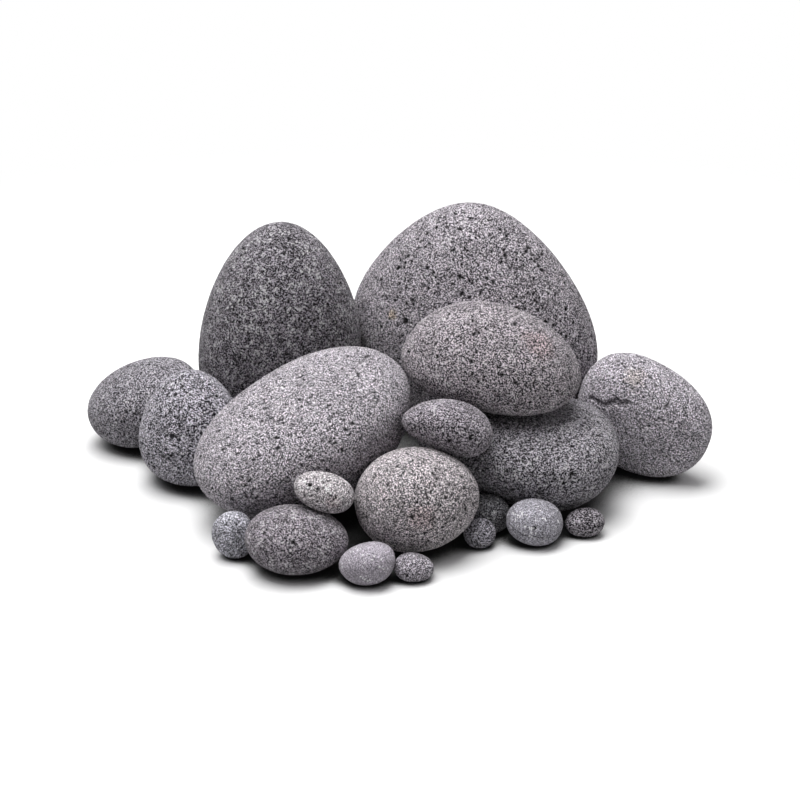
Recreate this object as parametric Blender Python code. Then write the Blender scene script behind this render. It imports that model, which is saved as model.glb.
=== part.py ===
"""Nineteen loose basalt massage stones, heaped as a display set on a flat surface.

Each stone is one solid pebble and one object. Sixteen stand or lie on the surface, with
the largest at the back and the toe stones in front, and three more lie on top of those.
All dimensions are in millimetres and degrees, and the meshes are made in metres.
"""

import math
from dataclasses import dataclass

import bmesh
import bpy
from mathutils import Euler, Matrix, Vector, noise
from mathutils.bvhtree import BVHTree

MM = 0.001

# Sizes that every stone shares.
TOUCH = 0.4  # gap left where two stones touch
BED_DEPTH = 0.5  # how far a stone's lowest point is worn flat
UNEVENNESS = 0.006  # height of the slow swells in a stone's skin, as a share of its radius
SWELLS_ACROSS = 1.3  # how many swells lie along one radius
SKIN_ERROR = 0.16  # how far a flat facet may lie inside the true skin
RUN_UP = 60.0  # how far off its spot a stone starts when it is pushed into the heap
DROP_FROM = 400.0  # height from which a stacked stone is lowered
CLOSE = 2.3  # a stacked stone that has two others within this gap lies in the hollow between them
ROLL_STEP = 1.0  # how far a stacked stone rolls in plan before it is lowered again
MOST_ROLLS = 30  # steps that a stacked stone rolls at most


@dataclass
class Pebble:
    """One stone: its shape in its own axes, how it is turned, and how it gets into the heap."""

    name: str
    length: float  # along its own X
    breadth: float  # along its own Y
    height: float  # along its own Z
    near: str | None  # stone whose middle the spot is measured from; None is the heap's origin
    spot: tuple  # X, Y of its middle, before it is pushed along its heading
    grey: float  # lightness of its skin
    heading: float | None = None  # plan direction it is pushed in, from +X; None stays on its spot
    stacked: bool = False  # lowered onto the stones below it, and not stood on the surface
    roll: float = 0.0
    pitch: float = 0.0
    yaw: float = 0.0
    taper: float = 0.0  # how much thicker the +X end is than the middle
    crown: float = 0.0  # how much narrower the top is than the middle
    fullness: float = 2.1  # 2 is an ellipsoid, more is boxier
    bend: float = 0.0  # how far the two ends hang below the middle
    standoff: float = TOUCH  # gap left to the stone it is pushed against


# In the order in which they are laid: each one finds its place against those before it.
PEBBLES = [
    Pebble("largest_stone", 163.5, 109, 153.5, None, (46.5, 97), 0.21, roll=4, pitch=3,
           yaw=-28, taper=0.01, crown=0.26, fullness=1.93),
    Pebble("upright_egg_stone", 101.5, 95, 141, "largest_stone", (-121.4, -8.5), 0.12,
           heading=0, roll=-1, pitch=8, yaw=-10, taper=-0.15, crown=0.13, fullness=2.0),
    Pebble("dark_carrier_stone", 118, 91, 57, "largest_stone", (23, -111), 0.12, heading=90,
           roll=3, pitch=7, yaw=1, taper=0.32, crown=-0.21, fullness=2.15, standoff=5.0),
    Pebble("creased_stone", 87.5, 45.5, 72, "dark_carrier_stone", (80.7, 42.6), 0.22,
           heading=180, roll=-1, pitch=15, yaw=-31, taper=-0.09, crown=-0.06, fullness=2.29),
    Pebble("long_egg_stone", 131.5, 93, 81.5, None, (-54.1, -25), 0.31, roll=4, pitch=-21,
           yaw=30, taper=0.04, crown=-0.32, fullness=2.2),
    Pebble("far_left_stone", 74, 64.5, 52, "upright_egg_stone", (-86.5, -16.5), 0.21,
           heading=0, pitch=-21, yaw=-1, crown=-0.08, standoff=1.0),
    Pebble("pitted_stone", 62.5, 60.5, 72, None, (-128, 15.7), 0.20, heading=30, pitch=-1,
           yaw=-3, taper=0.03, crown=0.22),
    Pebble("palm_stone", 72, 71.5, 59, "dark_carrier_stone", (-59.8, -60.2), 0.25,
           heading=120, roll=-6, pitch=-7, yaw=-1, taper=-0.06, fullness=2.0),
    Pebble("flecked_oval_stone", 58.5, 50.5, 36.5, None, (-58.5, -103.5), 0.18, heading=90,
           roll=1, pitch=4, yaw=4, taper=-0.06, crown=-0.04, fullness=2.0, standoff=4.0),
    Pebble("small_blue_stone", 24, 21.5, 28, "flecked_oval_stone", (-37, 15.2), 0.22,
           heading=0, roll=-1, pitch=-8, yaw=-2, taper=0.06, crown=-0.05),
    Pebble("half_hidden_stone", 29, 26, 22, "dark_carrier_stone", (-18.6, -40.6), 0.06,
           heading=105, pitch=8),
    Pebble("smallest_stone", 18.5, 16.5, 17.5, "palm_stone", (36.3, -1.4), 0.12, heading=105,
           pitch=-7, yaw=2, taper=0.02),
    Pebble("cracked_round_stone", 33, 30.5, 26, "dark_carrier_stone", (8.5, -55.8), 0.26,
           heading=90, pitch=8, yaw=-2, taper=0.04),
    Pebble("speckled_toe_stone", 23, 18.5, 16.5, "cracked_round_stone", (30.2, 9.4), 0.15,
           heading=180, pitch=-5, yaw=2, taper=0.03, standoff=3.7),
    Pebble("blunt_toe_stone", 31.5, 28.5, 22.5, "flecked_oval_stone", (40.4, -16.6), 0.30,
           heading=120, roll=-2, pitch=-12, taper=0.05, crown=-0.14, standoff=1.2),
    Pebble("flat_toe_stone", 22.5, 20, 15, "blunt_toe_stone", (25.9, 3.8), 0.23, heading=180,
           pitch=5, taper=-0.06, standoff=1.0),
    Pebble("perched_oval_stone", 35, 26.5, 21, "flecked_oval_stone", (15.5, 12.2), 0.31,
           stacked=True, pitch=17, yaw=-2, taper=0.06),
    Pebble("bean_stone", 52.5, 35.5, 28.5, "palm_stone", (17.3, 22.8), 0.16, stacked=True,
           roll=-2, pitch=10, yaw=-15, taper=0.16, crown=-0.17, fullness=2.2, bend=5),
    Pebble("top_egg_stone", 104.5, 76, 58, "dark_carrier_stone", (-14.5, 11.1), 0.19,
           stacked=True, roll=3, pitch=7, yaw=-20, taper=-0.04, crown=0.23, fullness=2.25),
]


def clear_scene():
    for thing in list(bpy.data.objects):
        bpy.data.objects.remove(thing, do_unlink=True)


def skin_point(pebble, seed, direction):
    """The point of the skin that lies in a direction from the stone's middle, in its own axes."""
    power = pebble.fullness
    reach = sum(abs(part) ** power for part in direction) ** (-1 / power)
    swell = noise.noise(direction * SWELLS_ACROSS + Vector((seed * 7.3, seed * 3.1, 0.0)))
    point = direction * reach * (1 + UNEVENNESS * swell)
    crown = 1 - pebble.crown * point.z
    ends = 1 + pebble.taper * point.x
    along = point.x * crown
    return Vector((
        along * pebble.length / 2,
        point.y * crown * ends * pebble.breadth / 2,
        point.z * ends * pebble.height / 2 - pebble.bend * (along**2 - 0.5),
    )) * MM


def facets_along_edge(pebble):
    """How many facets make a quarter turn, so that none lies deeper than SKIN_ERROR."""
    radius = (pebble.length + pebble.breadth + pebble.height) / 6
    facet = math.sqrt(8 * radius * SKIN_ERROR)
    return max(4, round(math.pi / 2 * radius / facet))


def pebble_mesh(pebble, seed):
    """A cube's grid blown up into the pebble, with facets of about one size."""
    form = bmesh.new()
    bmesh.ops.create_cube(form, size=2.0)
    bmesh.ops.subdivide_edges(
        form, edges=form.edges, cuts=facets_along_edge(pebble) - 1, use_grid_fill=True
    )
    for vertex in form.verts:
        direction = Vector([math.tan(part * math.pi / 4) for part in vertex.co]).normalized()
        vertex.co = skin_point(pebble, seed, direction)
    bmesh.ops.triangulate(form, faces=form.faces)
    bmesh.ops.recalc_face_normals(form, faces=form.faces)
    mesh = bpy.data.meshes.new(pebble.name)
    form.to_mesh(mesh)
    form.free()
    mesh.shade_smooth()
    return mesh


class Solid:
    """A stone's skin in the world, ready for distances to be measured to it."""

    def __init__(self, mesh, turn, place):
        stand = Matrix.Translation(place) @ turn
        self.points = [stand @ vertex.co for vertex in mesh.vertices]
        self.tree = BVHTree.FromPolygons(
            self.points, [tuple(face.vertices) for face in mesh.polygons]
        )


def free_run(moving, laid, heading):
    """How far the moving solid can travel along the heading before it meets a laid one."""
    run = DROP_FROM * MM
    for other in laid:
        for point in moving.points:
            run = min(run, other.tree.ray_cast(point, heading)[3] or run)
        for point in other.points:
            run = min(run, moving.tree.ray_cast(point, -heading)[3] or run)
    return run


def gap_between(moving, laid, shift, most):
    """The smallest gap from the moving solid, shifted, to the laid ones, up to most."""
    gap = most
    for other in laid:
        for point in moving.points:
            gap = min(gap, other.tree.find_nearest(point + shift, gap)[3] or gap)
        for point in other.points:
            gap = min(gap, moving.tree.find_nearest(point - shift, gap)[3] or gap)
    return gap


def push_in(mesh, turn, start, heading, standoff, laid):
    """Where a stone comes to rest when it is pushed along its heading into those laid."""
    moving = Solid(mesh, turn, start)
    run = free_run(moving, laid, heading)
    for _ in range(60):
        lack = standoff - gap_between(moving, laid, heading * run, standoff)
        if lack < 0.005 * MM:
            break
        run -= lack
    return start + heading * run


def nearest_to(solid, other, reach):
    """(gap, point on the solid) where the other one comes nearest to it, or None beyond reach."""
    found = [solid.tree.find_nearest(point, reach) for point in other.points]
    hits = [(gap, spot) for spot, _, _, gap in found if spot is not None]
    return min(hits, key=lambda hit: hit[0], default=None)


def settle(mesh, turn, place, standoff, laid):
    """Lowers a stone, and rolls it off the only stone that it meets until it meets a second."""
    for _ in range(MOST_ROLLS):
        start = Vector((place.x, place.y, DROP_FROM * MM))
        place = push_in(mesh, turn, start, Vector((0, 0, -1)), standoff, laid)
        resting = Solid(mesh, turn, place)
        met = [hit for other in laid if (hit := nearest_to(resting, other, CLOSE * MM))]
        if len(met) != 1:
            break
        downhill = place - met[0][1]
        downhill.z = 0
        place = place + downhill.normalized() * ROLL_STEP * MM
    return place


def lay(pebble, mesh, laid, middles):
    """Turns the stone and finds its place, on the surface or on the stones below it."""
    turn = Euler(
        [math.radians(angle) for angle in (pebble.roll, pebble.pitch, pebble.yaw)]
    ).to_matrix().to_4x4()
    lowest = min((turn @ vertex.co).z for vertex in mesh.vertices)
    place = Vector((*pebble.spot, 0.0)) * MM + middles[pebble.near]
    place.z = -lowest - BED_DEPTH * MM
    if pebble.stacked:
        place = settle(mesh, turn, place, pebble.standoff * MM, laid)
    elif pebble.heading is not None:
        angle = math.radians(pebble.heading)
        heading = Vector((math.cos(angle), math.sin(angle), 0.0))
        start = place - heading * RUN_UP * MM
        place = push_in(mesh, turn, start, heading, pebble.standoff * MM, laid)
    return turn, place


def wear_flat(mesh, stand):
    """Cuts off what lies under the surface, which leaves the flat that the stone rests on."""
    form = bmesh.new()
    form.from_mesh(mesh)
    to_stone = stand.inverted()
    cut = bmesh.ops.bisect_plane(
        form,
        geom=form.verts[:] + form.edges[:] + form.faces[:],
        plane_co=to_stone @ Vector((0, 0, 0)),
        plane_no=(to_stone.to_3x3() @ Vector((0, 0, -1))).normalized(),
        clear_outer=True,
    )
    rim = [part for part in cut["geom_cut"] if isinstance(part, bmesh.types.BMEdge)]
    bmesh.ops.contextual_create(form, geom=rim)
    bmesh.ops.recalc_face_normals(form, faces=form.faces)
    form.to_mesh(mesh)
    form.free()


def stone_material(pebble):
    material = bpy.data.materials.new(pebble.name)
    material.use_nodes = True
    shader = material.node_tree.nodes["Principled BSDF"]
    shader.inputs["Base Color"].default_value = (pebble.grey, pebble.grey, pebble.grey, 1.0)
    shader.inputs["Roughness"].default_value = 0.85
    shader.inputs["Metallic"].default_value = 0.0
    return material


def centre_of_plan(solids):
    """The middle, in plan, of the box around the whole heap."""
    points = [point for solid in solids for point in solid.points]
    across = [point.x for point in points]
    along = [point.y for point in points]
    return Vector(((min(across) + max(across)) / 2, (min(along) + max(along)) / 2, 0.0))


def main():
    clear_scene()
    made = []
    laid = []
    middles = {None: Vector()}
    for seed, pebble in enumerate(PEBBLES, start=1):
        mesh = pebble_mesh(pebble, seed)
        turn, place = lay(pebble, mesh, laid, middles)
        laid.append(Solid(mesh, turn, place))
        middles[pebble.name] = place
        made.append((pebble, mesh, turn, place))
    centre = centre_of_plan(laid)
    for pebble, mesh, turn, place in made:
        stand = Matrix.Translation(place - centre) @ turn
        if not pebble.stacked:
            wear_flat(mesh, stand)
        stone = bpy.data.objects.new(pebble.name, mesh)
        stone.data.materials.append(stone_material(pebble))
        stone.matrix_world = stand
        bpy.context.scene.collection.objects.link(stone)


if __name__ == "__main__":
    main()
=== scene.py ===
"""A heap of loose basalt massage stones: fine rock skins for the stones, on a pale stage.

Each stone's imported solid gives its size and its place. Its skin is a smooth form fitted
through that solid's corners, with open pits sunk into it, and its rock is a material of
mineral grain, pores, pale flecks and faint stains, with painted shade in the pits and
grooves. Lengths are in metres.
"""

import math
from dataclasses import dataclass

import bpy
import numpy as np
from bpy.props import FloatProperty, FloatVectorProperty, PointerProperty
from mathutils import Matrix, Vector, kdtree, noise


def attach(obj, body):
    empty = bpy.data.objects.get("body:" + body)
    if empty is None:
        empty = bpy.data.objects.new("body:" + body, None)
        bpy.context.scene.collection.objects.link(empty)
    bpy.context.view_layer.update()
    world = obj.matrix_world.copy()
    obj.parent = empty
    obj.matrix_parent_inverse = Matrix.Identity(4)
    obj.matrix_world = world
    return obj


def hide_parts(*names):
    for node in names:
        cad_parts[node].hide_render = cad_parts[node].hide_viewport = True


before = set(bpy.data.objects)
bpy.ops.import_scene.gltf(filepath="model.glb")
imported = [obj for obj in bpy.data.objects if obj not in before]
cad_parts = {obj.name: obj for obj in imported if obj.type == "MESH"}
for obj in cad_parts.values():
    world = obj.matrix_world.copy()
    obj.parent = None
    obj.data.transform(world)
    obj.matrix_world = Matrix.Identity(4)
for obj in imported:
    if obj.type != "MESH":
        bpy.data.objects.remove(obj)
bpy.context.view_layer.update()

bl_info = {
    "name": "Basalt massage stones",
    "version": (1, 0, 0),
    "blender": (4, 5, 0),
    "location": "3D View > Sidebar > Stones",
    "description": "Makes the rock skins of a heap of basalt massage stones, and its stage",
    "category": "Object",
}

MM = 0.001

# The ground.
GROUND_RADIUS = 0.8
GROUND_SIDES = 96
FADE_START, FADE_END = 0.4, 0.72  # from its middle, where it fades into the white surround
GROUND_DROP = 0.2 * MM  # how far it lies under the stones' feet
GROUND_BOUNCE = 0.52  # how much light it throws back up
SHUT_IN_REACH = 100 * MM  # stones this near shut out sky, and the ground's colour is painted darker there, as shade
SHUT, OPEN = 0.18, 0.42  # shares of open sky at which the ground's painted shade is darkest, and gone
# darkest painted shade on the ground, as a share of white
DARKEST_GROUND_PAINTED_SHADE = 0.05

# The light and the camera.
LAMP_SIZE = (1.4, 1.0)
LAMP_PLACE = (-0.15, 0.1, 1.3)
LAMP_TARGET = (0, 0, 0.05)
SENSOR_WIDTH = 36  # in millimetres, as a camera counts it
CAMERA_TARGET = (3.98 * MM, -13.69 * MM, 60 * MM)

# The form of a skin.
FOOT_LAYER = 0.2 * MM  # corners of the solid this near the ground belong to its worn foot
BEST_DEGREE = 9  # most detail that the smooth form keeps
LARGE_WIDTH, TOE_WIDTH = 60 * MM, 20 * MM  # stones whose facets are full size and smallest
BAKE_MAP = "OFBake"  # the texture layout, one chart for each side of the grid
CHART_MARGIN = 0.006

# Its unevenness.
BROAD_SWELL, NARROW_SWELL = 9 * MM, 3.1 * MM  # widths
NARROW_SHARE = 0.5  # of the broad swells' height
SWELL_SHIFT = (1.7, 0.9, 2.3)  # from one stone's unevenness to the next one's
TOOTH_SEED = 500  # keeps a stone's roughness apart from the chances of its pits
# Middle and spread of the natural logarithm of a pit's width, in middling widths.
PIT_MIDDLE, PIT_SPREAD = -0.05, 0.3
ROUND_PIT, LONG_PIT = 1.0, 1.5  # how many times longer than wide a pit without a streak is
ALONG_STREAK = 4  # how firmly a streaked stone's pits lie along it
SHALLOW_PIT, DEEP_PIT = 0.6, 1.1  # times the usual depth
PIT_RAGGEDNESS, PIT_NOTCHES = 0.3, 0.9  # share of the radius, notches in a radius
GROOVE_RAGGEDNESS, GROOVE_NOTCHES = 0.5, 0.8  # share of the width, notches in a width
PIT_LAYER = "pit_shade"  # how much painted shade a pit's or groove's depth gives each corner of the skin
DARK_PIT = 0.4  # depth at which a pit's painted shade is full, as a share of its width
GROOVE_DEPTH = 0.35  # as a share of its width
# painted shade at the deepest part of a groove
GROOVE_PAINTED_SHADE = 0.7

# What is in the rock.
PORE_SPACING = 1.8  # in steps of the grain
FLECK_SPACING = 1.3 * MM
MOTTLE_WIDTH = 14 * MM
HOLLOW_DARKNESS, WALL_LIGHTNESS = 0.95, 2.1  # how far from the middle colour, at full contrast
# Pores darken the rock's own colour; in pits and grooves the darkening is painted shade.
PORE_DARKNESS, PIT_PAINTED_SHADE = 0.92, 0.9
FLECK_GAIN, FLECK_LIFT = 1.5, 0.45  # from the rock's colour to a fleck's
BUMP_HEIGHT = 0.3 * MM
PORE_BUMP = 1.2  # how much deeper than the grain a pore is
HOLLOW_ROUGHNESS, WALL_ROUGHNESS = 0.95, 0.75
SPECULAR_LEVEL = 0.1
DUSTY_SHEEN = 0.12


@dataclass(frozen=True)
class Look:
    """One stone's rock, before anyone changes it."""

    colour: tuple  # linear red, green, blue
    grain: float  # distance between the rock's fine hollows
    contrast: float  # how far dark hollows and light grains stand apart
    pits: float  # open pits in a square centimetre
    pit_width: float  # width of a middling open pit
    streak: float = 1.0  # how many times longer than wide a pit is
    pores: float = 0.25  # share of the rock's cells that are larger dark pores
    flecks: float = 0.25  # share of the cells that are pale flecks, where flecks are thick
    stain_at: tuple = (0, 0, 0)  # middle of a faint stain, as shares of the stone's box
    stain_radius: float = 0.0
    stain_tint: tuple = (1.0, 1.0, 1.0)  # what the stain multiplies the colour by
    groove: tuple = ()  # a groove across the front, as shares of the box's width and height
    groove_width: float = 0.0


# A stone's place in this table also seeds its chances.
LOOKS = {
    "largest_stone": Look(
        (0.219, 0.202, 0.221), grain=0.78 * MM, contrast=1.48, pits=6.0, pit_width=1.45 * MM,
        pores=0.3, stain_at=(0.17, 0.29, 0.57), stain_radius=5 * MM,
        stain_tint=(1.12, 1.02, 0.8),
    ),
    "upright_egg_stone": Look(
        (0.097, 0.09, 0.1), grain=0.95 * MM, contrast=1.79, pits=1.5, pit_width=1.3 * MM,
        flecks=0.8,
    ),
    "dark_carrier_stone": Look(
        (0.151, 0.143, 0.157), grain=0.9 * MM, contrast=1.66, pits=4.0, pit_width=1.4 * MM,
        flecks=0.4,
    ),
    "creased_stone": Look(
        (0.368, 0.343, 0.378), grain=0.73 * MM, contrast=0.96, pits=3.0, pit_width=1.3 * MM,
        stain_at=(0.4, 0.3, 0.9), stain_radius=9 * MM, stain_tint=(1.03, 1.0, 0.92),
        groove_width=3.8 * MM, groove=((0.1, 0.67), (0.18, 0.65), (0.23, 0.69), (0.27, 0.73),
        (0.29, 0.7), (0.34, 0.72)),
    ),
    "long_egg_stone": Look(
        (0.305, 0.284, 0.31), grain=0.69 * MM, contrast=1.12, pits=4.5, pit_width=1.25 * MM,
        streak=1.7, pores=0.18,
    ),
    "far_left_stone": Look(
        (0.172, 0.163, 0.18), grain=0.78 * MM, contrast=1.43, pits=3.0, pit_width=1.3 * MM,
    ),
    "pitted_stone": Look(
        (0.24, 0.229, 0.256), grain=0.84 * MM, contrast=1.43, pits=10.0, pit_width=1.3 * MM,
        pores=0.35,
    ),
    "palm_stone": Look(
        (0.338, 0.309, 0.323), grain=0.73 * MM, contrast=1.11, pits=5.5, pit_width=1.35 * MM,
        stain_at=(0.54, 0.01, 0.58), stain_radius=11 * MM, stain_tint=(1.06, 0.98, 0.97),
    ),
    "flecked_oval_stone": Look(
        (0.16, 0.145, 0.161), grain=0.78 * MM, contrast=1.35, pits=1.0, pit_width=1.3 * MM,
        flecks=0.5,
    ),
    "small_blue_stone": Look(
        (0.34, 0.334, 0.374), grain=0.73 * MM, contrast=0.92, pits=4.0, pit_width=1.1 * MM,
    ),
    "half_hidden_stone": Look(
        (0.09, 0.088, 0.095), grain=0.78 * MM, contrast=1.59, pits=2.0, pit_width=1.2 * MM,
    ),
    "smallest_stone": Look(
        (0.218, 0.208, 0.234), grain=0.78 * MM, contrast=1.35, pits=2.5, pit_width=1.1 * MM,
    ),
    "cracked_round_stone": Look(
        (0.361, 0.348, 0.39), grain=0.67 * MM, contrast=0.59, pits=1.5, pit_width=1 * MM,
        groove_width=0.9 * MM, groove=((0.05, 0.56), (0.28, 0.42), (0.47, 0.43), (0.65, 0.37),
        (0.79, 0.35), (0.95, 0.37)),
    ),
    "speckled_toe_stone": Look(
        (0.168, 0.154, 0.17), grain=0.95 * MM, contrast=1.54, pits=2.0, pit_width=1.2 * MM,
        flecks=0.4,
    ),
    "blunt_toe_stone": Look(
        (0.403, 0.37, 0.42), grain=0.56 * MM, contrast=0.54, pits=0.8, pit_width=1 * MM,
    ),
    "flat_toe_stone": Look(
        (0.291, 0.269, 0.3), grain=0.73 * MM, contrast=0.97, pits=1.0, pit_width=1 * MM,
    ),
    "perched_oval_stone": Look(
        (0.405, 0.376, 0.392), grain=0.73 * MM, contrast=0.85, pits=3.5, pit_width=1.3 * MM,
        pores=0.15, stain_at=(0.66, 0.02, 0.47), stain_radius=6 * MM,
        stain_tint=(1.05, 0.98, 0.98),
    ),
    "bean_stone": Look(
        (0.174, 0.159, 0.177), grain=0.84 * MM, contrast=1.41, pits=2.5, pit_width=1.5 * MM,
    ),
    "top_egg_stone": Look(
        (0.194, 0.176, 0.19), grain=0.84 * MM, contrast=1.48, pits=1.2, pit_width=1.7 * MM,
        stain_at=(0.75, 0.22, 0.76), stain_radius=14 * MM, stain_tint=(1.08, 0.98, 0.96),
    ),
}

BACK_STONES = ("largest_stone", "upright_egg_stone")
SIDE_STONES = ("far_left_stone", "pitted_stone", "dark_carrier_stone", "creased_stone")
FRONT_STONES = ("long_egg_stone", "palm_stone", "flecked_oval_stone")
STACKED_STONES = ("top_egg_stone", "bean_stone", "perched_oval_stone")
TOE_STONES = ("small_blue_stone", "half_hidden_stone", "smallest_stone", "cracked_round_stone",
              "speckled_toe_stone", "blunt_toe_stone", "flat_toe_stone")


# ---------------------------------------------------------------- settings


def settings_of(node, look):
    """A property group whose defaults are one stone's own rock."""
    fields = {
        "colour": FloatVectorProperty(
            name="Colour", description="Middle colour of the rock", subtype="COLOR",
            size=3, min=0, max=1, default=look.colour),
        "grain": FloatProperty(
            name="Grain", description="Distance between the fine hollows", unit="LENGTH",
            min=0.1 * MM, max=5 * MM, precision=5, default=look.grain),
        "contrast": FloatProperty(
            name="Contrast", description="How far dark hollows and light grains stand apart",
            subtype="FACTOR", min=0, max=2, default=look.contrast),
        "pores": FloatProperty(
            name="Pores", description="Share of the rock in larger dark pores",
            subtype="FACTOR", min=0, max=1, default=look.pores),
        "pits": FloatProperty(
            name="Pits", description="Open pits in a square centimetre",
            min=0, max=20, default=look.pits),
        "pit_width": FloatProperty(
            name="Pit width", description="Width of a middling open pit", unit="LENGTH",
            min=0.2 * MM, max=8 * MM, precision=5, default=look.pit_width),
        "streak": FloatProperty(
            name="Streak", description="How many times longer than wide a pit is",
            min=1, max=4, default=look.streak),
        "flecks": FloatProperty(
            name="Flecks", description="Share of the rock in pale flecks", subtype="FACTOR",
            min=0, max=1, default=look.flecks),
    }
    if look.stain_radius:
        fields["stain_at"] = FloatVectorProperty(
            name="Stain middle", description="Middle of the stain, as shares of the stone's box",
            size=3, min=0, max=1, default=look.stain_at)
        fields["stain_radius"] = FloatProperty(
            name="Stain radius", description="How far the stain spreads", unit="LENGTH",
            min=0, max=50 * MM, precision=4, default=look.stain_radius)
        fields["stain_tint"] = FloatVectorProperty(
            name="Stain tint", description="What the stain multiplies the rock's colour by",
            size=3, min=0, max=2, default=look.stain_tint)
    if look.groove:
        fields["groove_width"] = FloatProperty(
            name="Groove width", description="Width of the groove across the front",
            unit="LENGTH", min=0, max=5 * MM, precision=5, default=look.groove_width)
    label = node.title().replace("_", "")
    return type(f"BASALT_PG_{label}", (bpy.types.PropertyGroup,), {"__annotations__": fields})


class BASALT_PG_surface(bpy.types.PropertyGroup):
    """Sizes that every stone's skin shares."""

    facet: FloatProperty(
        name="Facet", description="Width of a facet on a large stone", unit="LENGTH",
        min=0.2 * MM, max=5 * MM, precision=5, default=0.56 * MM)
    toe_facet: FloatProperty(
        name="Toe stone facet", description="Width of a facet on the smallest stone",
        unit="LENGTH", min=0.1 * MM, max=5 * MM, precision=5, default=0.3 * MM)
    swell: FloatProperty(
        name="Swell", description="Height of the gentle unevenness of a skin",
        unit="LENGTH", min=0, max=2 * MM, precision=5, default=0.12 * MM)
    tooth: FloatProperty(
        name="Tooth", description="Height of the roughness that a fingertip feels",
        unit="LENGTH", min=0, max=0.5 * MM, precision=5, default=0.05 * MM)
    pit_depth: FloatProperty(
        name="Pit depth", description="Depth of a pit, as a share of its width",
        subtype="FACTOR", min=0, max=1.5, default=0.5)


class BASALT_PG_stage(bpy.types.PropertyGroup):
    """The camera and the lights."""

    distance: FloatProperty(
        name="Camera distance", description="From the camera to the middle of the heap",
        unit="LENGTH", min=0.1, max=10, default=1.361)
    elevation: FloatProperty(
        name="Camera elevation", description="How far the camera looks down",
        subtype="ANGLE", min=0, max=math.pi / 2, default=math.radians(23))
    field: FloatProperty(
        name="Field of view", description="Width of the camera's view",
        subtype="ANGLE", min=0.01, max=3, default=math.radians(20))
    overhead: FloatProperty(
        name="Overhead light", description="Strength of the large soft light above",
        subtype="POWER", min=0, max=1000, default=25)
    surround: FloatProperty(
        name="Surround", description="Strength of the white surround",
        min=0, max=10, default=0.27)


# ---------------------------------------------------------------- the form of a stone


def corners_of(node):
    """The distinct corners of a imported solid."""
    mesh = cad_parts[node].data
    points = np.empty(len(mesh.vertices) * 3)
    mesh.vertices.foreach_get("co", points)
    return np.unique(np.round(points.reshape(-1, 3), 7), axis=0)


def box_of(node):
    """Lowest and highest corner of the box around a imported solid."""
    corners = corners_of(node)
    return corners.min(axis=0), corners.max(axis=0)


def powers(directions, degree):
    """Every product of x, y and z of this degree and of the one below, one column each."""
    x, y, z = directions.T
    columns = [
        x**i * y**j * z**(total - i - j)
        for total in (degree, degree - 1)
        for i in range(total + 1)
        for j in range(total + 1 - i)
    ]
    return np.stack(columns, axis=1)


class Form:
    """A smooth closed form through the corners of a stone's solid."""

    def __init__(self, node):
        corners = corners_of(node)
        self.middle = corners.mean(axis=0)
        spread, axes = np.linalg.eigh(np.cov((corners - self.middle).T))
        axes[:, 0] *= np.linalg.det(axes)
        self.stretch = axes * np.sqrt(3 * spread)
        skin = corners[corners[:, 2] > FOOT_LAYER]
        offsets = (skin - self.middle) @ np.linalg.inv(self.stretch).T
        reach = np.linalg.norm(offsets, axis=1)
        self.degree = min(BEST_DEGREE, int(math.sqrt(len(skin) / 3)) - 1)
        columns = powers(offsets / reach[:, None], self.degree)
        self.weights = np.linalg.lstsq(columns, reach, rcond=None)[0]

    def points(self, directions):
        """Where the skin lies in these directions, level with the ground at its foot."""
        reach = powers(directions, self.degree) @ self.weights
        found = self.middle + (directions * reach[:, None]) @ self.stretch.T
        found[:, 2] = np.maximum(found[:, 2], 0)
        return found

    def girth(self):
        """Middling radius of the stone."""
        return float(np.prod(np.linalg.norm(self.stretch, axis=0)) ** (1 / 3))


def grid_on_sphere(cells):
    """Directions, four-sided faces and chart corners of a cube's grid blown up to a ball."""
    steps = np.linspace(-1, 1, cells + 1)
    across, along = np.meshgrid(np.tan(steps * math.pi / 4), np.tan(steps * math.pi / 4),
                                indexing="ij")
    share = (steps + 1) / 2 * (1 - 2 * CHART_MARGIN) + CHART_MARGIN
    chart_across, chart_along = np.meshgrid(share, share, indexing="ij")
    index = np.arange((cells + 1) ** 2).reshape(cells + 1, cells + 1)
    quads = np.stack(
        [index[:-1, :-1], index[1:, :-1], index[1:, 1:], index[:-1, 1:]], axis=-1
    ).reshape(-1, 4)
    points, faces, charts = [], [], []
    for side in range(6):
        axis, sign = side % 3, 1 - 2 * (side // 3)
        point = np.empty((across.size, 3))
        point[:, axis] = sign
        point[:, (axis + 1) % 3] = across.ravel()
        point[:, (axis + 2) % 3] = along.ravel() * sign
        points.append(point)
        faces.append(quads + side * across.size)
        charts.append(np.stack([
            (side % 3 + chart_across.ravel()) / 3,
            (side // 3 + chart_along.ravel()) / 2,
        ], axis=1)[quads])
    points = np.concatenate(points)
    _, first, merged = np.unique(
        np.round(points, 6), axis=0, return_index=True, return_inverse=True
    )
    directions = points[first]
    directions /= np.linalg.norm(directions, axis=1)[:, None]
    return directions, merged.reshape(-1)[np.concatenate(faces)], np.concatenate(charts)


def mesh_from(name, points, faces, charts):
    """A smooth mesh of four-sided faces, with its chart layout."""
    mesh = bpy.data.meshes.new(name)
    mesh.vertices.add(len(points))
    mesh.vertices.foreach_set("co", points.ravel())
    mesh.loops.add(faces.size)
    mesh.loops.foreach_set("vertex_index", faces.ravel())
    mesh.polygons.add(len(faces))
    mesh.polygons.foreach_set("loop_start", np.arange(0, faces.size, 4))
    mesh.update(calc_edges=True)
    mesh.uv_layers.new(name=BAKE_MAP).uv.foreach_set("vector", charts.ravel())
    mesh.shade_smooth()
    return mesh


def read(collection, field, width):
    """One field of a mesh's vertices, normals or faces, as rows of numbers."""
    values = np.empty(len(collection) * width)
    collection.foreach_get(field, values)
    return values.reshape(-1, width)


# ---------------------------------------------------------------- pits, crease and crack


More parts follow.
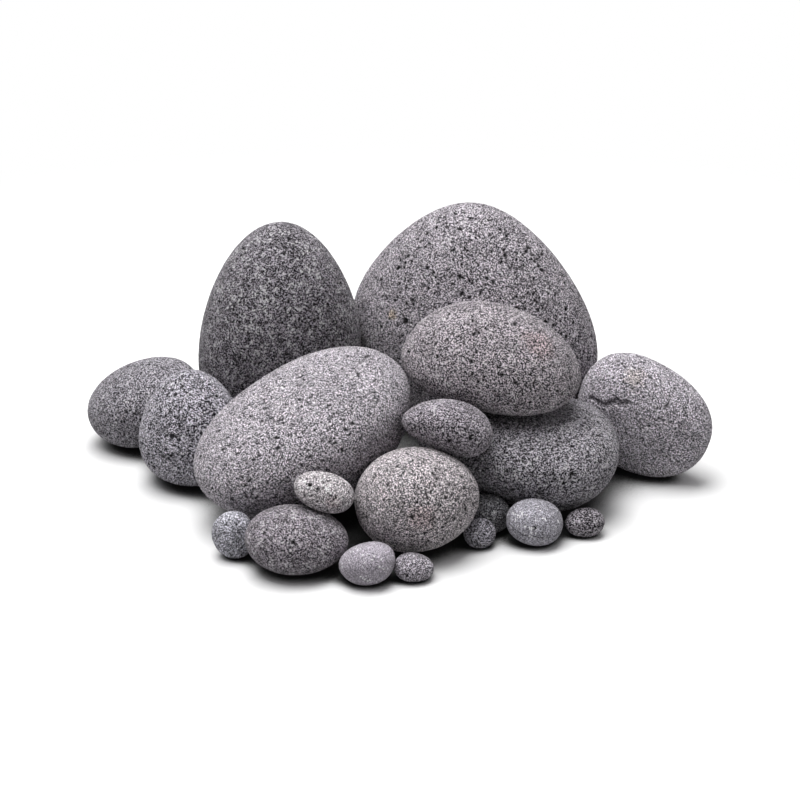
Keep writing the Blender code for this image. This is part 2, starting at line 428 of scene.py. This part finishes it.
def swells(points, height, seed):
    """Gentle unevenness at a few widths, as a height for each point."""
    shift = Vector([seed * step for step in SWELL_SHIFT])
    rise = [
        noise.noise(Vector(point) / BROAD_SWELL + shift)
        + NARROW_SHARE * noise.noise(Vector(point) / NARROW_SWELL + shift)
        for point in points
    ]
    return np.array(rise) * height


def sink_pits(mesh, rock, seed, depth_share):
    """How deep each vertex lies in a pit, with pits of many widths scattered over the skin."""
    points = read(mesh.vertices, "co", 3)
    areas = read(mesh.polygons, "area", 1)[:, 0]
    centres = read(mesh.polygons, "center", 3)
    chance = np.random.default_rng(seed)
    count = int(rock.pits * areas.sum() / (10 * MM) ** 2)
    tree = kdtree.KDTree(len(points))
    for place, point in enumerate(points):
        tree.insert(point, place)
    tree.balance()
    depth = np.zeros(len(points))
    for centre in centres[chance.choice(len(centres), count, p=areas / areas.sum())]:
        radius = rock.pit_width / 2 * chance.lognormal(PIT_MIDDLE, PIT_SPREAD)
        reach = radius * rock.streak * LONG_PIT
        near = tree.find_range(Vector(centre), reach)
        if not near:
            continue
        places = np.array([found[1] for found in near])
        offset = points[places] - centre
        lean = chance.normal(size=3)
        lean[0] += ALONG_STREAK * (rock.streak - 1)
        lean /= np.linalg.norm(lean)
        squeeze = 1 - 1 / (rock.streak * chance.uniform(ROUND_PIT, LONG_PIT))
        offset -= squeeze * np.outer(offset @ lean, lean)
        ragged = 1 + PIT_RAGGEDNESS * np.array([
            noise.noise(Vector(point) / radius * PIT_NOTCHES) for point in points[places]
        ])
        share = np.clip(np.linalg.norm(offset, axis=1) / (radius * ragged), 0, 1)
        depth_chance = chance.uniform(SHALLOW_PIT, DEEP_PIT)
        sunk = (1 - share**3) * radius * 2 * depth_share * depth_chance
        depth[places] = np.maximum(depth[places], sunk)
    return depth


def cut_groove(points, normals, path, width):
    """How deep each vertex lies in a jagged groove, whose path is given as seen from the front."""
    flat = points[:, [0, 2]]
    low, high = flat.min(axis=0), flat.max(axis=0)
    bends = low + np.array(path) * (high - low)
    away = np.full(len(points), np.inf)
    for start, end in zip(bends, bends[1:]):
        along = end - start
        share = np.clip((flat - start) @ along / (along @ along), 0, 1)
        away = np.minimum(away, np.linalg.norm(flat - start - np.outer(share, along), axis=1))
    ragged = 1 + GROOVE_RAGGEDNESS * np.array([
        noise.noise(Vector(point) / width * GROOVE_NOTCHES) for point in points
    ])
    sunk = np.clip(1 - (away / (width / 2 * ragged)) ** 2, 0, 1) * width * GROOVE_DEPTH
    return np.where(normals[:, 1] < 0, sunk, 0)


def skin(node, rock, seed):
    """The stone's skin, made around its solid's own form."""
    surface = bpy.context.scene.basalt_surface
    form = Form(node)
    girth = form.girth()
    smallness = np.clip((LARGE_WIDTH - 2 * girth) / (LARGE_WIDTH - TOE_WIDTH), 0, 1)
    facet = surface.facet + (surface.toe_facet - surface.facet) * smallness
    cells = round(math.pi / 2 * girth / facet)
    directions, faces, charts = grid_on_sphere(cells)
    mesh = mesh_from(node.replace("_stone", "_pebble"), form.points(directions), faces, charts)
    points = read(mesh.vertices, "co", 3)
    normals = read(mesh.vertex_normals, "vector", 3)
    chance = np.random.default_rng(seed + TOOTH_SEED)
    pitted = sink_pits(mesh, rock, seed, surface.pit_depth)
    # Painted shade: a corner's colour is darker the deeper it lies in a pit or groove.
    shade = np.clip(pitted / (rock.pit_width * DARK_PIT), 0, 1)
    if LOOKS[node].groove:
        grooved = cut_groove(points, normals, LOOKS[node].groove, rock.groove_width)
        pitted = np.maximum(pitted, grooved)
        shade = np.maximum(shade, GROOVE_PAINTED_SHADE * grooved / grooved.max())
    rise = swells(points, surface.swell, seed) - pitted
    rise += chance.normal(0, surface.tooth, len(points))
    points += normals * rise[:, None]
    points[:, 2] = np.maximum(points[:, 2], 0)
    mesh.vertices.foreach_set("co", points.ravel())
    mesh.update()
    layer = mesh.attributes.new(PIT_LAYER, "FLOAT", "POINT")
    layer.data.foreach_set("value", shade)
    return mesh


# ---------------------------------------------------------------- effects that rocks share


class Wiring:
    """Adds nodes to a tree, with their settings and links, in the order they are used."""

    def __init__(self, tree):
        self.tree = tree

    def add(self, kind, sockets=None, **settings):
        """A node of this kind. A socket is given a number or colour, or another's output."""
        node = self.tree.nodes.new(kind)
        for name, value in settings.items():
            setattr(node, name, value)
        for name, value in (sockets or {}).items():
            if isinstance(value, bpy.types.NodeSocket):
                self.tree.links.new(value, node.inputs[name])
            else:
                node.inputs[name].default_value = value
        return node

    def sum(self, operation, *values, clamp=False):
        """The result of one step of arithmetic."""
        sockets = dict(enumerate(values))
        return self.add("ShaderNodeMath", sockets, operation=operation, use_clamp=clamp).outputs[0]

    def span(self, value, low, high, to_low=0.0, to_high=1.0):
        """A value spread from one span onto another, eased at both ends."""
        sockets = {"Value": value, "From Min": low, "From Max": high,
                   "To Min": to_low, "To Max": to_high}
        node = self.add("ShaderNodeMapRange", sockets, interpolation_type="SMOOTHSTEP")
        return node.outputs["Result"]

    def blend(self, share, first, second, kind="MIX"):
        """Two colours mixed by a share."""
        node = self.add("ShaderNodeMix", data_type="RGBA", blend_type=kind)
        for socket, value in zip((node.inputs[0], node.inputs[6], node.inputs[7]),
                                 (share, first, second)):
            if isinstance(value, bpy.types.NodeSocket):
                self.tree.links.new(value, socket)
            else:
                socket.default_value = value
        return node.outputs[2]

    def scaled(self, vector, width):
        """A position counted in steps of this width."""
        per_width = self.sum("DIVIDE", 1.0, width)
        node = self.add("ShaderNodeVectorMath", {0: vector, "Scale": per_width},
                        operation="SCALE")
        return node.outputs[0]

    def ruffled(self, vector, amount):
        """A position pushed about, so that cells lose their straight sides."""
        stir = self.add("ShaderNodeTexNoise", {"Vector": vector, "Scale": 1.1, "Detail": 1.0})
        centred = self.add("ShaderNodeVectorMath", {0: stir.outputs["Color"], 1: (0.5, 0.5, 0.5)},
                           operation="SUBTRACT")
        pushed = self.add("ShaderNodeVectorMath", {0: centred.outputs[0], "Scale": amount},
                          operation="SCALE")
        return self.add("ShaderNodeVectorMath", {0: vector, 1: pushed.outputs[0]}).outputs[0]

    def cells(self, vector, scale=1.0):
        """Cells of about one step: how far off each one's middle is, and its own chances."""
        node = self.add("ShaderNodeTexVoronoi", {"Vector": vector, "Scale": scale})
        chances = self.add("ShaderNodeSeparateColor", {"Color": node.outputs["Color"]})
        return node.outputs["Distance"], chances.outputs


def effect(name, inputs, outputs, wire):
    """A node group with named sockets. wire(wiring, inputs) gives the outputs' sources."""
    tree = bpy.data.node_groups.new(name, "ShaderNodeTree")
    for label, kind in inputs:
        tree.interface.new_socket(label, in_out="INPUT", socket_type=kind)
    for label, kind in outputs:
        tree.interface.new_socket(label, in_out="OUTPUT", socket_type=kind)
    wiring = Wiring(tree)
    sources = wire(wiring, wiring.add("NodeGroupInput").outputs)
    wiring.add("NodeGroupOutput", dict(zip([label for label, _ in outputs], sources)))
    return tree


VALUE, POSITION = "NodeSocketFloat", "NodeSocketVector"


def wire_grain(wiring, given):
    """A fine sponge of pale walls around dark hollows, speckled with smaller grains."""
    wall_foot, wall_top = 0.3, 0.62
    speckle_fineness = 1.6
    speckle_share = 0.6
    darkest, lightest = 0.35, 0.95
    stepped = wiring.ruffled(wiring.scaled(given["Position"], given["Width"]), 0.5)
    far = wiring.cells(stepped)[0]
    speckle = wiring.cells(stepped, speckle_fineness)[1][0]
    wall = wiring.span(far, wall_foot, wall_top)
    walls = wiring.sum("MULTIPLY", wall, 1 - speckle_share)
    mixed = wiring.sum("MULTIPLY_ADD", speckle, speckle_share, walls)
    return wiring.span(mixed, darkest, lightest), mixed


def wire_pores(wiring, given):
    """Fine dark holes in some of the cells."""
    narrowest, extra = 0.22, 0.3
    floor_share = 0.45
    stepped = wiring.ruffled(wiring.scaled(given["Position"], given["Spacing"]), 0.9)
    far, chance = wiring.cells(stepped)
    rim = wiring.sum("MULTIPLY_ADD", chance[1], extra, narrowest)
    hole = wiring.span(far, rim, wiring.sum("MULTIPLY", rim, floor_share))
    picked = wiring.sum("LESS_THAN", chance[0], given["Share"])
    mask = wiring.sum("MULTIPLY", hole, picked)
    return mask, wiring.sum("SUBTRACT", 1.0, mask)


def wire_flecks(wiring, given):
    """Pale crystals, thick in some places and rare in others."""
    thin, thick = 0.06, 1.0
    narrowest, extra = 0.42, 0.3
    core = 0.3
    stepped = wiring.ruffled(wiring.scaled(given["Position"], given["Spacing"]), 1.2)
    far, chance = wiring.cells(stepped)
    crowd = wiring.add("ShaderNodeTexNoise", {"Vector": stepped, "Scale": 0.22, "Detail": 2.0})
    crowding = wiring.span(crowd.outputs["Fac"], 0.5, 0.6, thin, thick)
    picked = wiring.sum("LESS_THAN", chance[0], wiring.sum("MULTIPLY", crowding, given["Share"]))
    speck = wiring.span(far, wiring.sum("MULTIPLY_ADD", chance[1], extra, narrowest), core)
    return (wiring.sum("MULTIPLY", speck, picked),)


def wire_mottling(wiring, given):
    """Broad, faint changes of shade, about one."""
    darker, lighter = 0.88, 1.12
    broad = wiring.add("ShaderNodeTexNoise", {
        "Vector": wiring.scaled(given["Position"], given["Width"]), "Scale": 1.0, "Detail": 3.0})
    return (wiring.span(broad.outputs["Fac"], 0.3, 0.7, darker, lighter),)


def wire_stain(wiring, given):
    """A faint stain with a ragged edge around one place."""
    raggedness = 1.2
    edge, full = 1.0, 0.3
    apart = wiring.add("ShaderNodeVectorMath", {0: given["Position"], 1: given["Middle"]},
                       operation="DISTANCE").outputs["Value"]
    share = wiring.sum("DIVIDE", apart, given["Radius"])
    wander = wiring.add("ShaderNodeTexNoise", {
        "Vector": wiring.scaled(given["Position"], given["Radius"]), "Scale": 2.5, "Detail": 3.0})
    inward = wiring.sum("SUBTRACT", share, raggedness / 2)
    ragged = wiring.sum("MULTIPLY_ADD", wander.outputs["Fac"], raggedness, inward)
    return (wiring.span(ragged, edge, full),)


AT = ("Position", POSITION)
# Inputs, outputs and wiring of every effect that more than one rock uses.
EFFECTS = {
    "Sponge grain": ([AT, ("Width", VALUE)], [("Shade", VALUE), ("Height", VALUE)], wire_grain),
    "Fine pores": ([AT, ("Spacing", VALUE), ("Share", VALUE)],
                   [("Mask", VALUE), ("Height", VALUE)], wire_pores),
    "Pale flecks": ([AT, ("Spacing", VALUE), ("Share", VALUE)], [("Mask", VALUE)], wire_flecks),
    "Mottling": ([AT, ("Width", VALUE)], [("Shade", VALUE)], wire_mottling),
    "Stain": ([AT, ("Middle", POSITION), ("Radius", VALUE)], [("Mask", VALUE)], wire_stain),
}


def shared_effect(name):
    """An effect's node group, built once."""
    if name not in bpy.data.node_groups:
        return effect(name, *EFFECTS[name])
    return bpy.data.node_groups[name]


# ---------------------------------------------------------------- rock


def rock_material(node, rock):
    """Matte basalt in this stone's own colour, grain, pores and flecks, with painted shade in
    pits.
    """
    material = bpy.data.materials.new(node.replace("_stone", "_basalt"))
    material.use_nodes = True
    wiring = Wiring(material.node_tree)
    shader = material.node_tree.nodes["Principled BSDF"]
    position = wiring.add("ShaderNodeTexCoord").outputs["Object"]

    def placed(name, **sockets):
        return wiring.add("ShaderNodeGroup", {"Position": position, **sockets},
                          node_tree=shared_effect(name)).outputs

    grain = placed("Sponge grain", Width=rock.grain)
    pores = placed("Fine pores", Spacing=rock.grain * PORE_SPACING, Share=rock.pores)
    flecks = placed("Pale flecks", Spacing=FLECK_SPACING, Share=rock.flecks)
    mottling = placed("Mottling", Width=MOTTLE_WIDTH)
    # The skin's layer of painted shade in its pits and grooves.
    pit = wiring.add("ShaderNodeAttribute", attribute_name=PIT_LAYER).outputs["Fac"]

    dark = max(0.0, 1 - HOLLOW_DARKNESS * rock.contrast)
    light = 1 + WALL_LIGHTNESS * rock.contrast
    shade = wiring.sum("MULTIPLY_ADD", grain["Shade"], light - dark, dark)
    shade = wiring.sum("MULTIPLY", shade, mottling["Shade"])
    # Pores darken the rock's own colour; the pit layer multiplies in painted shade.
    for mask, darkness in ((pores["Mask"], PORE_DARKNESS), (pit, PIT_PAINTED_SHADE)):
        left = wiring.sum("MULTIPLY_ADD", mask, -darkness, 1.0)
        shade = wiring.sum("MULTIPLY", shade, left)
    grey = wiring.add("ShaderNodeCombineColor", {"Red": shade, "Green": shade, "Blue": shade})
    colour = wiring.blend(1.0, (*rock.colour, 1.0), grey.outputs["Color"], "MULTIPLY")
    pale = tuple(min(1.0, channel * FLECK_GAIN + FLECK_LIFT) for channel in rock.colour)
    colour = wiring.blend(flecks["Mask"], colour, (*pale, 1.0))
    if LOOKS[node].stain_radius:
        low, high = box_of(node)
        middle = low + np.array(rock.stain_at) * (high - low)
        stain = placed("Stain", Middle=tuple(middle), Radius=rock.stain_radius)
        tinted = wiring.blend(1.0, colour, (*rock.stain_tint, 1.0), "MULTIPLY")
        colour = wiring.blend(stain["Mask"], colour, tinted)

    height = wiring.sum("MULTIPLY_ADD", pores["Height"], PORE_BUMP, grain["Height"])
    bump = wiring.add("ShaderNodeBump", {"Strength": 1.0, "Distance": BUMP_HEIGHT,
                                         "Height": height})
    roughness = wiring.span(grain["Shade"], 0.0, 1.0, HOLLOW_ROUGHNESS, WALL_ROUGHNESS)
    links = material.node_tree.links
    links.new(colour, shader.inputs["Base Color"])
    links.new(bump.outputs["Normal"], shader.inputs["Normal"])
    links.new(roughness, shader.inputs["Roughness"])
    shader.inputs["Specular IOR Level"].default_value = SPECULAR_LEVEL
    shader.inputs["Sheen Weight"].default_value = DUSTY_SHEEN
    return material


def make_stone(context, node):
    """One stone's skin and rock, riding on its own body."""
    rock = getattr(context.scene, f"basalt_{node}")
    seed = 1 + list(LOOKS).index(node)
    mesh = skin(node, rock, seed)
    mesh.materials.append(rock_material(node, rock))
    pebble = bpy.data.objects.new(mesh.name, mesh)
    context.scene.collection.objects.link(pebble)
    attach(pebble, node)
    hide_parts(node)


# ---------------------------------------------------------------- operators


class BASALT_OT_back_stones(bpy.types.Operator):
    """Makes the broad dome and the charcoal egg at the back."""

    bl_idname = "basalt.back_stones"
    bl_label = "Back stones"

    def execute(self, context):
        for node in BACK_STONES:
            make_stone(context, node)
        return {"FINISHED"}


class BASALT_OT_side_stones(bpy.types.Operator):
    """Makes the stones at the left and right ends and the dark carrier."""

    bl_idname = "basalt.side_stones"
    bl_label = "Side stones"

    def execute(self, context):
        for node in SIDE_STONES:
            make_stone(context, node)
        return {"FINISHED"}


class BASALT_OT_front_stones(bpy.types.Operator):
    """Makes the long egg, the palm stone and the flecked oval."""

    bl_idname = "basalt.front_stones"
    bl_label = "Front stones"

    def execute(self, context):
        for node in FRONT_STONES:
            make_stone(context, node)
        return {"FINISHED"}


class BASALT_OT_stacked_stones(bpy.types.Operator):
    """Makes the stones that lie on others."""

    bl_idname = "basalt.stacked_stones"
    bl_label = "Stacked stones"

    def execute(self, context):
        for node in STACKED_STONES:
            make_stone(context, node)
        return {"FINISHED"}


class BASALT_OT_toe_stones(bpy.types.Operator):
    """Makes the small stones in front."""

    bl_idname = "basalt.toe_stones"
    bl_label = "Toe stones"

    def execute(self, context):
        for node in TOE_STONES:
            make_stone(context, node)
        return {"FINISHED"}


class BASALT_OT_stage(bpy.types.Operator):
    """Makes the ground, the lights and the camera."""

    bl_idname = "basalt.stage"
    bl_label = "Stage"

    def execute(self, context):
        stage = context.scene.basalt_stage
        make_ground()
        make_lights(stage)
        make_camera(context.scene, stage)
        context.scene.view_settings.view_transform = "Standard"
        return {"FINISHED"}


def make_ground():
    """A wide white ground, just under the stones' feet. It throws little light back up.

    Its colour is painted darker, as shade, where stones shut it in, and it fades into the white
    surround far from them.
    """
    mesh = bpy.data.meshes.new("ground")
    turns = np.linspace(0, 2 * math.pi, GROUND_SIDES, endpoint=False)
    rim = [(math.cos(turn) * GROUND_RADIUS, math.sin(turn) * GROUND_RADIUS, 0) for turn in turns]
    mesh.from_pydata(rim, [], [range(len(rim))])
    material = bpy.data.materials.new("ground_white_painted_shade")
    material.use_nodes = True
    material.node_tree.nodes.clear()
    wiring = Wiring(material.node_tree)
    seen = wiring.add("ShaderNodeLightPath").outputs["Is Camera Ray"]
    place = wiring.add("ShaderNodeTexCoord").outputs["Object"]
    # Painted shade: the ground's colour darkens where stones shut out its sky.
    open_share = wiring.add("ShaderNodeAmbientOcclusion", {"Distance": SHUT_IN_REACH})
    ground_painted_shade = wiring.span(open_share.outputs["AO"], SHUT, OPEN, DARKEST_GROUND_PAINTED_SHADE, 1.0)
    white = wiring.add("ShaderNodeCombineColor", {"Red": ground_painted_shade, "Green": ground_painted_shade, "Blue": ground_painted_shade})
    bright = wiring.add("ShaderNodeBsdfDiffuse", {"Color": white.outputs["Color"]})
    glow = wiring.add("ShaderNodeEmission")
    from_heap = wiring.add("ShaderNodeVectorMath", {0: place}, operation="LENGTH")
    outward = wiring.span(from_heap.outputs["Value"], FADE_START, FADE_END)
    fading = wiring.add("ShaderNodeMixShader", {0: outward, 1: bright.outputs[0],
                                                2: glow.outputs[0]})
    dull = wiring.add("ShaderNodeBsdfDiffuse", {"Color": (*[GROUND_BOUNCE] * 3, 1.0)})
    mixed = wiring.add("ShaderNodeMixShader", {0: seen, 1: dull.outputs[0], 2: fading.outputs[0]})
    wiring.add("ShaderNodeOutputMaterial", {"Surface": mixed.outputs[0]})
    mesh.materials.append(material)
    ground = bpy.data.objects.new("ground", mesh)
    ground.location.z = -GROUND_DROP
    bpy.context.scene.collection.objects.link(ground)


def make_lights(stage):
    """A large soft light overhead and a white surround."""
    light = bpy.data.lights.new("overhead", "AREA")
    light.shape = "RECTANGLE"
    light.size, light.size_y = LAMP_SIZE
    light.energy = stage.overhead
    lamp = bpy.data.objects.new("overhead", light)
    lamp.location = LAMP_PLACE
    aim = Vector(LAMP_TARGET) - lamp.location
    lamp.rotation_euler = aim.to_track_quat("-Z", "Y").to_euler()
    bpy.context.scene.collection.objects.link(lamp)
    world = bpy.data.worlds.new("surround")
    world.use_nodes = True
    wiring = Wiring(world.node_tree)
    seen = wiring.add("ShaderNodeLightPath").outputs["Is Camera Ray"]
    strength = wiring.sum("MULTIPLY_ADD", seen, 1.0 - stage.surround, stage.surround)
    background = world.node_tree.nodes["Background"]
    background.inputs["Color"].default_value = (1.0, 1.0, 1.0, 1.0)
    world.node_tree.links.new(strength, background.inputs["Strength"])
    bpy.context.scene.world = world


def make_camera(scene, stage):
    """A long lens in front of the heap, looking a little down at it."""
    data = bpy.data.cameras.new("camera")
    data.sensor_width = SENSOR_WIDTH
    data.lens = data.sensor_width / 2 / math.tan(stage.field / 2)
    camera = bpy.data.objects.new("camera", data)
    back = Vector((0, -math.cos(stage.elevation), math.sin(stage.elevation)))
    camera.location = Vector(CAMERA_TARGET) + back * stage.distance
    camera.rotation_euler = (math.pi / 2 - stage.elevation, 0, 0)
    scene.collection.objects.link(camera)
    scene.camera = camera


class BASALT_PT_sidebar(bpy.types.Panel):
    """Lists the steps that make the heap, and each stone's rock."""

    bl_idname = "BASALT_PT_sidebar"
    bl_label = "Basalt massage stones"
    bl_space_type = "VIEW_3D"
    bl_region_type = "UI"
    bl_category = "Stones"

    def draw(self, context):
        for step in STEPS:
            self.layout.operator(step.bl_idname)
        for group in ("surface", "stage", *LOOKS):
            box = self.layout.box()
            box.label(text=group.replace("_", " ").capitalize())
            settings = getattr(context.scene, f"basalt_{group}")
            for field in settings.__annotations__:
                box.prop(settings, field)


STEPS = (BASALT_OT_back_stones, BASALT_OT_side_stones, BASALT_OT_front_stones,
         BASALT_OT_stacked_stones, BASALT_OT_toe_stones, BASALT_OT_stage)
SETTINGS = {
    "surface": BASALT_PG_surface,
    "stage": BASALT_PG_stage,
    **{node: settings_of(node, look) for node, look in LOOKS.items()},
}


def register():
    for step in (*SETTINGS.values(), *STEPS, BASALT_PT_sidebar):
        bpy.utils.register_class(step)
    for name, group in SETTINGS.items():
        setattr(bpy.types.Scene, f"basalt_{name}", PointerProperty(type=group))


def unregister():
    for name in SETTINGS:
        delattr(bpy.types.Scene, f"basalt_{name}")
    for step in reversed((*SETTINGS.values(), *STEPS, BASALT_PT_sidebar)):
        bpy.utils.unregister_class(step)


def main():
    register()
    for step in STEPS:
        group, name = step.bl_idname.split(".")
        getattr(getattr(bpy.ops, group), name)()


if __name__ == "__main__":
    main()
